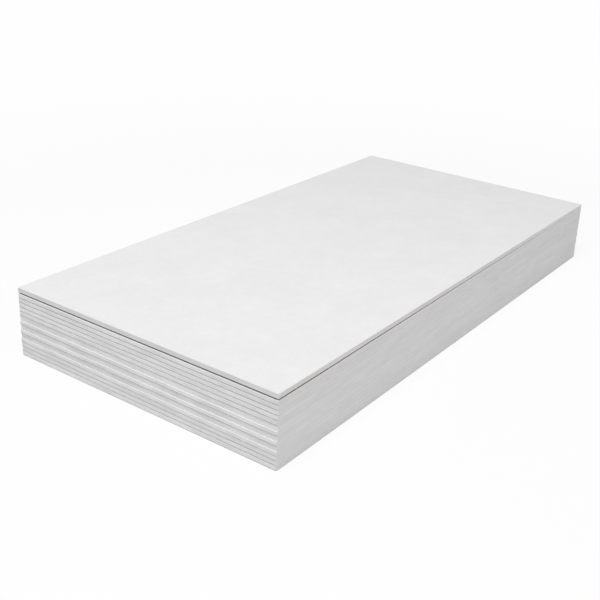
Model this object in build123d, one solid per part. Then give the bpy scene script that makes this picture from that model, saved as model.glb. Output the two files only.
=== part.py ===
from build123d import *
import math
import os

# A squared-up stack of fiber cement facade panels, lying flat on its lowest panel.
# X runs along the panels, with the near end at -X. Y runs across them. Z is up.
# The origin is on the floor, under the centre of the stack.

# One panel: a pressed and cured sheet, sawn to size
PANEL_LENGTH = 2400.0
PANEL_WIDTH = 1200.0
PANEL_THICKNESS = 18.0
END_UPPER_ARRIS = 2.4   # the most that the upper edge of a sawn end is rounded
END_LOWER_ARRIS = 2.4   # the same at its lower edge, where the saw breaks out
SIDE_ARRIS = 0.3        # radius on the edges of the two long sides, which are cut sharp
CORNER_RADIUS = 3.0     # each corner, seen from above

# The lowest panel took a knock on its near corner
KNOCKED_CORNER_RADIUS = 10.0

# How round the end edges of each panel are, the lowest first
UPPER_ARRIS_SHARES = [0.25, 0.25, 0.25, 1.0, 0.25, 1.0, 0.25, 1.0, 0.3, 0.7, 0.3, 0.25, 0.25, 1.0, 0.25]
LOWER_ARRIS_SHARES = [0.5, 0.8, 1.0, 0.4, 0.2, 0.9, 0.2, 0.9, 0.2, 1.0, 0.6, 0.8, 0.9, 0.9, 0.3]

# How far the panels lie out of line, the lowest first
PANEL_COUNT = 15
END_STEP = 1.5          # the most that a panel sticks out or lies back at the near end
SIDE_STEP = 0.5         # the same at the long sides, which were pushed flush
END_SHIFT_SHARES = [-0.3, -0.4, 0.3, 0.9, -1.0, 1.0, -0.8, 0.9, -0.9, 0.2, 0.1, 0.1, 0.2, 0.4, 0.2]
SIDE_SHIFT_SHARES = [1.0, 0.2, -0.3, 0.1, 0.4, -0.2, 0.3, 0.0, -0.4, 0.2, -0.1, 0.3, -0.5, 0.1, -1.0]

# The thin strip that holds the near end of the top panel off the panel below
STRIP_THICKNESS = 5.2
STRIP_WIDTH = 40.0
STRIP_SETBACK = 30.0    # from the near end and from both long sides of the top panel
STRIP_ARRIS = 0.5


def in_layer(shares, layer):
    """The share that a layer has. A taller stack starts its list again."""
    return shares[layer % len(shares)]


# Where the top panel lies
TOP_LAYER = PANEL_COUNT - 1
TOP_SHIFT = END_STEP * in_layer(END_SHIFT_SHARES, TOP_LAYER)
TOP_SIDE_SHIFT = SIDE_STEP * in_layer(SIDE_SHIFT_SHARES, TOP_LAYER)
SEAT_HEIGHT = PANEL_THICKNESS * TOP_LAYER
STRIP_INNER_EDGE = -PANEL_LENGTH / 2 - TOP_SHIFT + STRIP_SETBACK + STRIP_WIDTH
FAR_EDGE = PANEL_LENGTH / 2 - TOP_SHIFT - END_LOWER_ARRIS * in_layer(LOWER_ARRIS_SHARES, TOP_LAYER)
TOP_SLOPE = math.degrees(math.atan2(STRIP_THICKNESS, FAR_EDGE - STRIP_INNER_EDGE))


def rounded_bar(width, height, upper_radius, lower_radius, plane, length):
    """A bar whose section is a rectangle with rounded corners, centred on the origin."""
    with BuildPart() as bar:
        with BuildSketch(plane) as section:
            Rectangle(width, height)
            fillet(section.vertices().group_by(Axis.Y)[-1], upper_radius)
            fillet(section.vertices().group_by(Axis.Y)[0], lower_radius)
        extrude(amount=length / 2, both=True)
    return bar.part


def plan_blank(near_corner_radius):
    """The panel seen from above: a rectangle with its corners just taken off."""
    with BuildPart() as blank:
        with BuildSketch() as outline:
            Rectangle(PANEL_LENGTH, PANEL_WIDTH)
            other_corners = outline.vertices().sort_by(lambda corner: corner.X + corner.Y)[1:]
            fillet(other_corners, CORNER_RADIUS)
            near_corner = outline.vertices().sort_by(lambda corner: corner.X + corner.Y)[0]
            fillet(near_corner, near_corner_radius)
        extrude(amount=PANEL_THICKNESS / 2, both=True)
    return blank.part


def panel(layer, near_corner_radius):
    """One panel, centred on the origin: what its plan, its length and its width have in common."""
    upper_arris = END_UPPER_ARRIS * in_layer(UPPER_ARRIS_SHARES, layer)
    lower_arris = END_LOWER_ARRIS * in_layer(LOWER_ARRIS_SHARES, layer)
    lengthways = rounded_bar(PANEL_LENGTH, PANEL_THICKNESS, upper_arris, lower_arris, Plane.XZ, PANEL_WIDTH)
    crossways = rounded_bar(PANEL_WIDTH, PANEL_THICKNESS, SIDE_ARRIS, SIDE_ARRIS, Plane.YZ, PANEL_LENGTH)
    return plan_blank(near_corner_radius) & lengthways & crossways


def lay_level(sheet, layer):
    """A panel flat on the one below, or on the floor, and a little out of line."""
    end_shift = END_STEP * in_layer(END_SHIFT_SHARES, layer)
    side_shift = SIDE_STEP * in_layer(SIDE_SHIFT_SHARES, layer)
    middle = PANEL_THICKNESS * layer + PANEL_THICKNESS / 2
    return Pos(-end_shift, -side_shift, middle) * sheet


def lay_on_strip(sheet):
    """The top panel: its far lower edge rests on the panel below, and its near end on the strip."""
    sloped = Rot(0, TOP_SLOPE, 0) * sheet
    middle = SEAT_HEIGHT - sloped.bounding_box().min.Z
    return Pos(-TOP_SHIFT, -TOP_SIDE_SHIFT, middle) * sloped


def packing_strip():
    """The strip lies across the stack, out of sight under the near end of the top panel."""
    length = PANEL_WIDTH - 2 * STRIP_SETBACK
    strip = rounded_bar(STRIP_WIDTH, STRIP_THICKNESS, STRIP_ARRIS, STRIP_ARRIS, Plane.XZ, length)
    middle = STRIP_INNER_EDGE - STRIP_WIDTH / 2
    return Pos(middle, -TOP_SIDE_SHIFT, SEAT_HEIGHT + STRIP_THICKNESS / 2) * strip


def save(shape, name):
    shape.label = name
    export_step(shape, f"parts/{name}.step")


os.makedirs("parts", exist_ok=True)
save(lay_level(panel(0, KNOCKED_CORNER_RADIUS), 0), "panel_01")
for layer in range(1, TOP_LAYER):
    save(lay_level(panel(layer, CORNER_RADIUS), layer), f"panel_{layer + 1:02d}")
save(packing_strip(), "packing_strip")
save(lay_on_strip(panel(TOP_LAYER, CORNER_RADIUS)), f"panel_{PANEL_COUNT:02d}")
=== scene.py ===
import math
import bpy
from mathutils import Matrix, Vector

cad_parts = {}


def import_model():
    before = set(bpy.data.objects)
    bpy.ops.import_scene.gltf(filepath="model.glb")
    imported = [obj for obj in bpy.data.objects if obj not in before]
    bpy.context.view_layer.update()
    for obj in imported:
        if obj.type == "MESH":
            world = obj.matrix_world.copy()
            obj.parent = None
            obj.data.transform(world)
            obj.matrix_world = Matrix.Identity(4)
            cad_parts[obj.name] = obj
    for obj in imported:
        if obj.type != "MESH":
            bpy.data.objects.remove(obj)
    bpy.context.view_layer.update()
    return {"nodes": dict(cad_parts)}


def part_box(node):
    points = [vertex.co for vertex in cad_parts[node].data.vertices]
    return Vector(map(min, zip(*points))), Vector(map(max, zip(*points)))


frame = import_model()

MM = 0.001

# The camera, matched to the edges of the stack in the photograph, in metres and degrees
CAMERA_AT = (-3.304, -2.152, 1.774)
CAMERA_HEADING = 35.38      # turned from +X towards +Y
CAMERA_TILT = 22.67         # below the horizon
CAMERA_ROLL = 2.47
FOCAL_LENGTH = 59.76        # in mm
SENSOR_WIDTH = 36.0         # in mm
CAMERA_SHIFT = -0.05        # as a share of the picture's width

# The light: a softbox high over the near end, and an even light from a white room all round.
# A level of 1 is the light under which a matt surface that faces it renders as its colour is written.
KEY_AT = (-2.8, -0.8, 7.4)  # in metres
KEY_SIZE = 3.0              # in metres
KEY_LEVEL = 0.487
ROOM_LEVEL = 0.5
ROOM_WHITE = "#FFFFFF"
BACKDROP = "#FEFEFE"        # the floor and the room, as the camera sees them


def linear(hex_colour):
    """An sRGB hex value as linear red, green, blue and alpha."""
    channels = [int(hex_colour[i:i + 2], 16) / 255 for i in (1, 3, 5)]
    return [c / 12.92 if c <= 0.04045 else ((c + 0.055) / 1.055) ** 2.4 for c in channels] + [1.0]


def add(tree, kind, inputs=None, **settings):
    """One node with its settings, and each input set to a value, or linked to a socket or to a node."""
    made = tree.nodes.new(kind)
    for name, value in settings.items():
        setattr(made, name, value)
    for name, value in (inputs or {}).items():
        if isinstance(value, bpy.types.Node):
            value = next(socket for socket in value.outputs if socket.enabled)
        if isinstance(value, bpy.types.NodeSocket):
            tree.links.new(value, made.inputs[name])
        else:
            made.inputs[name].default_value = value
    return made


def new_tree(name):
    """An empty material of that name, with its node tree."""
    material = bpy.data.materials.new(name)
    material.use_nodes = True
    material.node_tree.nodes.clear()
    return material, material.node_tree


def laid_over(tree, value, start, full, under, over, share=1.0):
    """The colour under with the colour over on it: none where the value is at start, that share at full."""
    cover = add(tree, "ShaderNodeMapRange", {
        "Value": value, "From Min": start, "From Max": full, "To Max": share})
    return add(tree, "ShaderNodeMix", {0: cover, 6: under, 7: over}, data_type="RGBA")


def dress(node_name, material):
    """Gives a CAD node this material in all its slots."""
    mesh = frame["nodes"][node_name].data
    for i in range(max(1, len(mesh.materials))):
        if len(mesh.materials) <= i:
            mesh.materials.append(material)
        else:
            mesh.materials[i] = material


# Fiber cement, pressed between felts, cured and left raw: pale, dry and dead matt.
# The face has soft clouds where the slurry dried unevenly, and a fine mottle of pulp fibres in them.
# A cut edge shows the thin layers that the sheet was wound up from, as faint streaks along it, with
# cloudy damp marks over them. The sawn ends have fine upright saw marks, a painted highlight on their
# upper arris and painted shade along their lower edge, in the seams. The long sides have painted
# shade towards the floor. The back is unsanded, and browner; its colour also covers the arrises that
# face down, as painted shade in the seams.

CEMENT_IOR = 1.5
NEXT_PANEL = (1.7, 2.9)     # metres from one panel's marks to the next panel's, so that no two are alike
NOISE_SPAN = (0.3, 0.7)     # soft noise hardly leaves this range

# The pressed face, and the unsanded back, whose colour is also painted shade on the arrises that face down
CLOUD = 190 * MM            # soft clouds
BLOTCH = 42 * MM            # smaller patches inside the clouds
FIBRE = 9 * MM              # the tufts of pulp fibre, drawn coarser than their 2 mm so that they show
GRAIN = 3 * MM              # the fine tooth of the surface, drawn coarser than its 0.5 mm so that it shows
GRAIN_DEPTH = 0.08 * MM
TINT = 520 * MM             # where the face turns faintly warmer or cooler
BLOTCH_SHARE = 0.4          # how much of the clouds is blotches
GRAIN_SHARE = 0.35          # how much of the fine mottle is grain, and the rest fibre
MOTTLE_SHARE = 0.38         # how much of the patches is that mottle, and the rest clouds
FACE_SPAN = (0.33, 0.67)    # where the patches go from the dark tone to the pale one
DARK_FACE = "#E8E7E8"
COOL_FACE = "#F0F0F0"
WARM_FACE = "#F2F0F1"
DARK_FACE_ROUGHNESS = 0.9
PALE_FACE_ROUGHNESS = 0.78
# the unsanded back, and painted shade on every arris that faces down, in the seams
BACK_AND_ARRIS_SHADE = "#8B7E72"

# The cut edges
LAMINA = 4.5 * MM           # the layers in a cut edge, drawn coarser than their 1 mm so that they show
LAMINA_RUN = 900 * MM       # how far such a layer runs before it fades
LAMINA_DEPTH = 0.08 * MM
SIDE_DAMP = 200 * MM        # where a long side took up more or less damp
END_DAMP = 120 * MM         # the same on a sawn end, which drinks more
DAMP_SHARE = 0.7            # how much of a cut edge's marks is damp, and the rest layers
SAW_MARK = 7 * MM           # from one saw mark to the next on an end, drawn coarser than their 2 mm
SAW_MARK_HEIGHT = 70 * MM   # how far a saw mark runs upright before it fades
SAW_DEPTH = 0.12 * MM
PIT = 2.5 * MM              # pores that the saw opened, drawn coarser than their 1 mm
PIT_SPAN = (0.60, 0.74)     # the pores are only where the noise is high
PIT_SHARE = 0.35
PIT_TONE = "#A9A6A6"
SIDE_SPAN = (0.28, 0.72)    # where the streaks and the damp go from the dark tone to the pale one
SIDE_TONES = ("#E8E7E7", "#F9F7F8")
END_SPAN = (0.34, 0.66)
END_TONES = ("#E4E3E4", "#FBFAFB")
CUT_ROUGHNESS = 0.92

# The top panel's edges, and the painted light and shade on the cut edges
TOP_PANEL = 15
TOP_SIDE_TONES = ("#E8E7E5", "#F6F5F4")     # the top panel's edges are a little darker than the others', its long sides also warmer
TOP_END_TONES = ("#DBDADA", "#F1F0F1")
CHIP = 10 * MM              # how far a ragged edge runs before it turns
CHIP_SPAN = (0.25, 0.75)    # the noise at which it strays furthest to one side and to the other
RAGGED = 1.4 * MM           # how far such an edge strays to each side
# Painted shade along the lower edge of each panel, in the seams
SEAM_SHADE_FULL = 1.5 * MM        # how high the painted shade along an end's lower edge is full
SEAM_SHADE_TOP = 3.8 * MM         # how high that painted shade reaches
SEAM_SHADE_TONE = "#BAB8B8"
NO_SEAM_SHADE = (5, 7, 9, TOP_PANEL)           # panels that get no painted shade along their lower edge
SIDE_SEAM_SHADE_SHARE = 0.06      # how strong that painted shade is on a long side
# A painted highlight on the upper arris of each end but the top panel's
ARRIS_HIGHLIGHT_FULL = 1.0 * MM              # how far down an end the painted highlight on its upper arris is full
ARRIS_HIGHLIGHT_END = 3.5 * MM          # where that painted highlight ends
ARRIS_HIGHLIGHT_TONE = "#FCFBFC"
# Painted shade on the long sides, darker towards the floor
LOW_SIDE_SHADE_RISE = 120 * MM        # how high the painted shade towards the floor reaches on the long sides
LOW_SIDE_SHADE_SHARE = 0.2
LOW_SIDE_SHADE_TONE = "#DAD8D8"

# How much of the normal lies along Z or X where a finish starts, and where it covers all
FACE_TURN = (0.94, 0.99)
# the back's colour starts where the normal points only a little down, so it also lies on the lower arrises
# as painted shade
BACK_AND_ARRIS_SHADE_TURN = (-0.02, -0.2)
END_TURN = (0.5, 0.8)


def pressed_face(tree, own_piece):
    """The patches of a face, from 0 to 1, its grain, and the colour that follows the patches."""
    clouds = add(tree, "ShaderNodeTexNoise", {
        "Vector": own_piece, "Scale": 1 / CLOUD, "Detail": 6.0, "Roughness": 0.62})
    blotches = add(tree, "ShaderNodeTexNoise", {
        "Vector": own_piece, "Scale": 1 / BLOTCH, "Detail": 3.0, "Roughness": 0.6})
    fibres = add(tree, "ShaderNodeTexNoise", {
        "Vector": own_piece, "Scale": 1 / FIBRE, "Detail": 2.0, "Roughness": 0.6})
    grain = add(tree, "ShaderNodeTexNoise", {
        "Vector": own_piece, "Scale": 1 / GRAIN, "Detail": 3.0, "Roughness": 0.5})
    clouded = add(tree, "ShaderNodeMix", {0: BLOTCH_SHARE, 2: clouds, 3: blotches})
    mottle = add(tree, "ShaderNodeMix", {0: GRAIN_SHARE, 2: fibres, 3: grain})
    patches = add(tree, "ShaderNodeMix", {0: MOTTLE_SHARE, 2: clouded, 3: mottle})
    tint = add(tree, "ShaderNodeTexNoise", {
        "Vector": own_piece, "Scale": 1 / TINT, "Detail": 3.0, "Roughness": 0.5})
    pale = laid_over(tree, tint, *NOISE_SPAN, linear(COOL_FACE), linear(WARM_FACE))
    face = laid_over(tree, patches, *FACE_SPAN, linear(DARK_FACE), pale)
    return patches, grain, face


def cut_tones(tree, laminae, damp, span, tones):
    """The colour of a cut edge: the streaks of its layers, with the damp clouds over them."""
    marks = add(tree, "ShaderNodeMix", {0: DAMP_SHARE, 2: laminae, 3: damp})
    return laid_over(tree, marks, *span, linear(tones[0]), linear(tones[1]))


def ragged_height(tree, place, own_piece):
    """The height over the floor, which strays a little up and down along the edges."""
    level = add(tree, "ShaderNodeSeparateXYZ", {"Vector": place}).outputs["Z"]
    chips = add(tree, "ShaderNodeTexNoise", {
        "Vector": own_piece, "Scale": 1 / CHIP, "Detail": 3.0, "Roughness": 0.6})
    stray = add(tree, "ShaderNodeMapRange", {
        "Value": chips, "From Min": CHIP_SPAN[0], "From Max": CHIP_SPAN[1],
        "To Min": -RAGGED, "To Max": RAGGED})
    return add(tree, "ShaderNodeMath", {0: level, 1: stray}, operation="ADD")


def painted_light_on_edges(tree, number, height, side, end):
    """The colours of the long sides and the ends, with painted shade along the lower edges, a painted
    highlight on the upper arris of the ends, and painted shade towards the floor on the long sides.
    """
    lowest, highest = (corner[2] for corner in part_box(f"panel_{number:02d}"))
    # Painted shade along the lower edge of the end, in the seam, and faintly on the long side
    if number not in NO_SEAM_SHADE:
        seam_shade_span = (lowest + SEAM_SHADE_TOP, lowest + SEAM_SHADE_FULL)
        end = laid_over(tree, height, *seam_shade_span, end, linear(SEAM_SHADE_TONE))
        side = laid_over(tree, height, *seam_shade_span, side, linear(SEAM_SHADE_TONE), SIDE_SEAM_SHADE_SHARE)
    # A painted highlight on the upper arris of the end
    if number != TOP_PANEL:
        end = laid_over(tree, height, highest - ARRIS_HIGHLIGHT_END, highest - ARRIS_HIGHLIGHT_FULL, end, linear(ARRIS_HIGHLIGHT_TONE))
    # Painted shade on the long side, darker towards the floor
    side = laid_over(tree, height, LOW_SIDE_SHADE_RISE, 0.0, side, linear(LOW_SIDE_SHADE_TONE), LOW_SIDE_SHADE_SHARE)
    return side, end


def relief(tree, own_piece, grain, laminae, is_end):
    """The normal with the tooth, the layers and the saw marks, each on top of the one before."""
    tooth = add(tree, "ShaderNodeBump", {"Height": grain, "Distance": GRAIN_DEPTH, "Strength": 1.0})
    layered = add(tree, "ShaderNodeBump", {
        "Height": laminae, "Distance": LAMINA_DEPTH, "Strength": 1.0, "Normal": tooth})
    upright = add(tree, "ShaderNodeMapping", {
        "Vector": own_piece, "Scale": (0.0, 1 / SAW_MARK, 1 / SAW_MARK_HEIGHT)})
    saw_marks = add(tree, "ShaderNodeTexNoise", {
        "Vector": upright, "Scale": 1.0, "Detail": 2.0, "Roughness": 0.5})
    on_ends = add(tree, "ShaderNodeMath", {0: saw_marks, 1: is_end}, operation="MULTIPLY")
    return add(tree, "ShaderNodeBump", {
        "Height": on_ends, "Distance": SAW_DEPTH, "Strength": 1.0, "Normal": layered})


def fiber_cement(number):
    """The material of one panel, with marks of its own."""
    material, tree = new_tree(f"fiber_cement_pressed_{number:02d}")
    place = add(tree, "ShaderNodeTexCoord").outputs["Object"]
    own_piece = add(tree, "ShaderNodeMapping", {
        "Vector": place, "Location": (NEXT_PANEL[0] * number, NEXT_PANEL[1] * number, 0.0)})

    normal = add(tree, "ShaderNodeNewGeometry").outputs["True Normal"]
    facing = add(tree, "ShaderNodeSeparateXYZ", {"Vector": normal}).outputs
    flatness = add(tree, "ShaderNodeMath", {0: facing["Z"]}, operation="ABSOLUTE")
    is_face = add(tree, "ShaderNodeMapRange", {
        "Value": flatness, "From Min": FACE_TURN[0], "From Max": FACE_TURN[1]})
    endward = add(tree, "ShaderNodeMath", {0: facing["X"]}, operation="ABSOLUTE")
    is_end = add(tree, "ShaderNodeMapRange", {
        "Value": endward, "From Min": END_TURN[0], "From Max": END_TURN[1]})

    along = add(tree, "ShaderNodeMapping", {
        "Vector": own_piece, "Scale": (1 / LAMINA_RUN, 1 / LAMINA_RUN, 1 / LAMINA)})
    laminae = add(tree, "ShaderNodeTexNoise", {
        "Vector": along, "Scale": 1.0, "Detail": 3.0, "Roughness": 0.55})
    side_damp = add(tree, "ShaderNodeTexNoise", {
        "Vector": own_piece, "Scale": 1 / SIDE_DAMP, "Detail": 6.0, "Roughness": 0.68})
    end_damp = add(tree, "ShaderNodeTexNoise", {
        "Vector": own_piece, "Scale": 1 / END_DAMP, "Detail": 4.0, "Roughness": 0.6})
    side_tones = TOP_SIDE_TONES if number == TOP_PANEL else SIDE_TONES
    end_tones = TOP_END_TONES if number == TOP_PANEL else END_TONES
    side = cut_tones(tree, laminae, side_damp, SIDE_SPAN, side_tones)
    end = cut_tones(tree, laminae, end_damp, END_SPAN, end_tones)
    # Painted shade along the seams and towards the floor, and a painted highlight on the ends' upper
    # arrises
    side, end = painted_light_on_edges(tree, number, ragged_height(tree, place, own_piece), side, end)
    edges = add(tree, "ShaderNodeMix", {0: is_end, 6: side, 7: end}, data_type="RGBA")
    pits = add(tree, "ShaderNodeTexNoise", {
        "Vector": own_piece, "Scale": 1 / PIT, "Detail": 2.0, "Roughness": 0.5})
    cut = laid_over(tree, pits, *PIT_SPAN, edges, linear(PIT_TONE), PIT_SHARE)

    patches, grain, face = pressed_face(tree, own_piece)
    sanded = add(tree, "ShaderNodeMix", {0: is_face, 6: cut, 7: face}, data_type="RGBA")
    # The unsanded back, and painted shade on every arris that faces down
    colour = laid_over(tree, facing["Z"], *BACK_AND_ARRIS_SHADE_TURN, sanded, linear(BACK_AND_ARRIS_SHADE))
    pressed = add(tree, "ShaderNodeMapRange", {
        "Value": patches, "From Min": NOISE_SPAN[0], "From Max": NOISE_SPAN[1],
        "To Min": DARK_FACE_ROUGHNESS, "To Max": PALE_FACE_ROUGHNESS})
    roughness = add(tree, "ShaderNodeMix", {0: is_face, 2: CUT_ROUGHNESS, 3: pressed})
    surface = add(tree, "ShaderNodeBsdfPrincipled", {
        "Base Color": colour, "Roughness": roughness, "IOR": CEMENT_IOR,
        "Normal": relief(tree, own_piece, grain, laminae, is_end)})
    add(tree, "ShaderNodeOutputMaterial", {"Surface": surface})
    return material


# Softwood, sawn and left raw: a pale brown strip with darker late wood in fine lines along it

RING = 4 * MM               # from one ring to the next
RING_RUN = 600 * MM         # how far a line of late wood runs
RING_DEPTH = 0.2 * MM
RING_SPAN = (0.35, 0.65)
LATE_WOOD = "#8F7350"
EARLY_WOOD = "#BFA27A"
SAWN_ROUGHNESS = 0.8
WOOD_IOR = 1.5


def raw_softwood():
    """The material of the packing strip, whose wood runs along Y."""
    material, tree = new_tree("softwood_sawn")
    place = add(tree, "ShaderNodeTexCoord").outputs["Object"]
    along = add(tree, "ShaderNodeMapping", {
        "Vector": place, "Scale": (1 / RING, 1 / RING_RUN, 1 / RING)})
    rings = add(tree, "ShaderNodeTexNoise", {
        "Vector": along, "Scale": 1.0, "Detail": 4.0, "Roughness": 0.5})
    wood = laid_over(tree, rings, *RING_SPAN, linear(LATE_WOOD), linear(EARLY_WOOD))
    sawn = add(tree, "ShaderNodeBump", {"Height": rings, "Distance": RING_DEPTH, "Strength": 1.0})
    surface = add(tree, "ShaderNodeBsdfPrincipled", {
        "Base Color": wood, "Roughness": SAWN_ROUGHNESS, "IOR": WOOD_IOR, "Normal": sawn})
    add(tree, "ShaderNodeOutputMaterial", {"Surface": surface})
    return material


def seen_directly(tree):
    """1 for what the camera sees, straight or through a gloss or glass, and 0 for what only lights."""
    path = add(tree, "ShaderNodeLightPath").outputs
    mirrored = add(tree, "ShaderNodeMath", {
        0: path["Is Glossy Ray"], 1: path["Is Transmission Ray"]}, operation="MAXIMUM")
    return add(tree, "ShaderNodeMath", {0: path["Is Camera Ray"], 1: mirrored}, operation="MAXIMUM")


# The floor is plain white and keeps a faint shadow of the stack. It throws back as much light as
# white paper does.

FLOOR_SIZE = 80.0           # in metres
FLOOR_PAPER = "#E7E7E7"
FLOOR_GLOW_SHARE = 0.86     # how much of the floor's white hides its shadow, near the stack
SHADOW_REACH = 2.0          # in metres: the shadow fades out from there to twice as far


def floor():
    """The floor, a stage piece."""
    bpy.ops.mesh.primitive_plane_add(size=FLOOR_SIZE, location=(0, 0, 0))
    plane = bpy.context.object
    plane.name = "floor"
    material, tree = new_tree("floor_white")
    seen = seen_directly(tree)
    paint = add(tree, "ShaderNodeMix", {
        0: seen, 6: linear(FLOOR_PAPER), 7: linear(BACKDROP)}, data_type="RGBA")
    matt = add(tree, "ShaderNodeBsdfDiffuse", {"Color": paint})
    white = add(tree, "ShaderNodeEmission", {"Color": linear(BACKDROP), "Strength": 1.0})
    place = add(tree, "ShaderNodeTexCoord").outputs["Object"]
    from_stack = add(tree, "ShaderNodeVectorMath", {0: place}, operation="LENGTH").outputs["Value"]
    glow = add(tree, "ShaderNodeMapRange", {
        "Value": from_stack, "From Min": SHADOW_REACH, "From Max": 2 * SHADOW_REACH,
        "To Min": FLOOR_GLOW_SHARE, "To Max": 1.0})
    share = add(tree, "ShaderNodeMath", {0: seen, 1: glow}, operation="MULTIPLY")
    mixed = add(tree, "ShaderNodeMixShader", {0: share, 1: matt, 2: white})
    add(tree, "ShaderNodeOutputMaterial", {"Surface": mixed})
    plane.data.materials.append(material)


def world():
    """The white room: its light on the stack, and its backdrop for the camera."""
    room = bpy.data.worlds.new("studio")
    bpy.context.scene.world = room
    room.use_nodes = True
    tree = room.node_tree
    tree.nodes.clear()
    light = add(tree, "ShaderNodeBackground", {"Color": linear(ROOM_WHITE), "Strength": ROOM_LEVEL})
    white = add(tree, "ShaderNodeBackground", {"Color": linear(BACKDROP), "Strength": 1.0})
    mixed = add(tree, "ShaderNodeMixShader", {0: seen_directly(tree), 1: light, 2: white})
    add(tree, "ShaderNodeOutputWorld", {"Surface": mixed})


def softbox(name, place, size, level):
    """A square area lamp that faces the foot of the stack, and lights it there as the level says."""
    data = bpy.data.lights.new(name, "AREA")
    data.shape = "SQUARE"
    data.size = size
    away = Vector(place)
    data.energy = level * math.pi ** 2 * away.length_squared
    lamp = bpy.data.objects.new(name, data)
    lamp.location = away
    lamp.rotation_euler = away.to_track_quat("Z", "Y").to_euler()
    bpy.context.collection.objects.link(lamp)


def camera():
    """The camera. Before its turns it looks straight down, with +Y at the top of its picture."""
    data = bpy.data.cameras.new("camera")
    data.lens = FOCAL_LENGTH
    data.sensor_width = SENSOR_WIDTH
    data.shift_y = CAMERA_SHIFT
    eye = bpy.data.objects.new("camera", data)
    heading = Matrix.Rotation(math.radians(CAMERA_HEADING - 90), 4, "Z")
    tilt = Matrix.Rotation(math.radians(90 - CAMERA_TILT), 4, "X")
    roll = Matrix.Rotation(math.radians(CAMERA_ROLL), 4, "Z")
    eye.matrix_world = Matrix.Translation(CAMERA_AT) @ heading @ tilt @ roll
    bpy.context.collection.objects.link(eye)
    bpy.context.scene.camera = eye


for name in sorted(frame["nodes"]):
    if name.startswith("panel_"):
        dress(name, fiber_cement(int(name[-2:])))
dress("packing_strip", raw_softwood())

bpy.context.scene.view_settings.view_transform = "Standard"
floor()
world()
softbox("softbox_key", KEY_AT, KEY_SIZE, KEY_LEVEL)
camera()
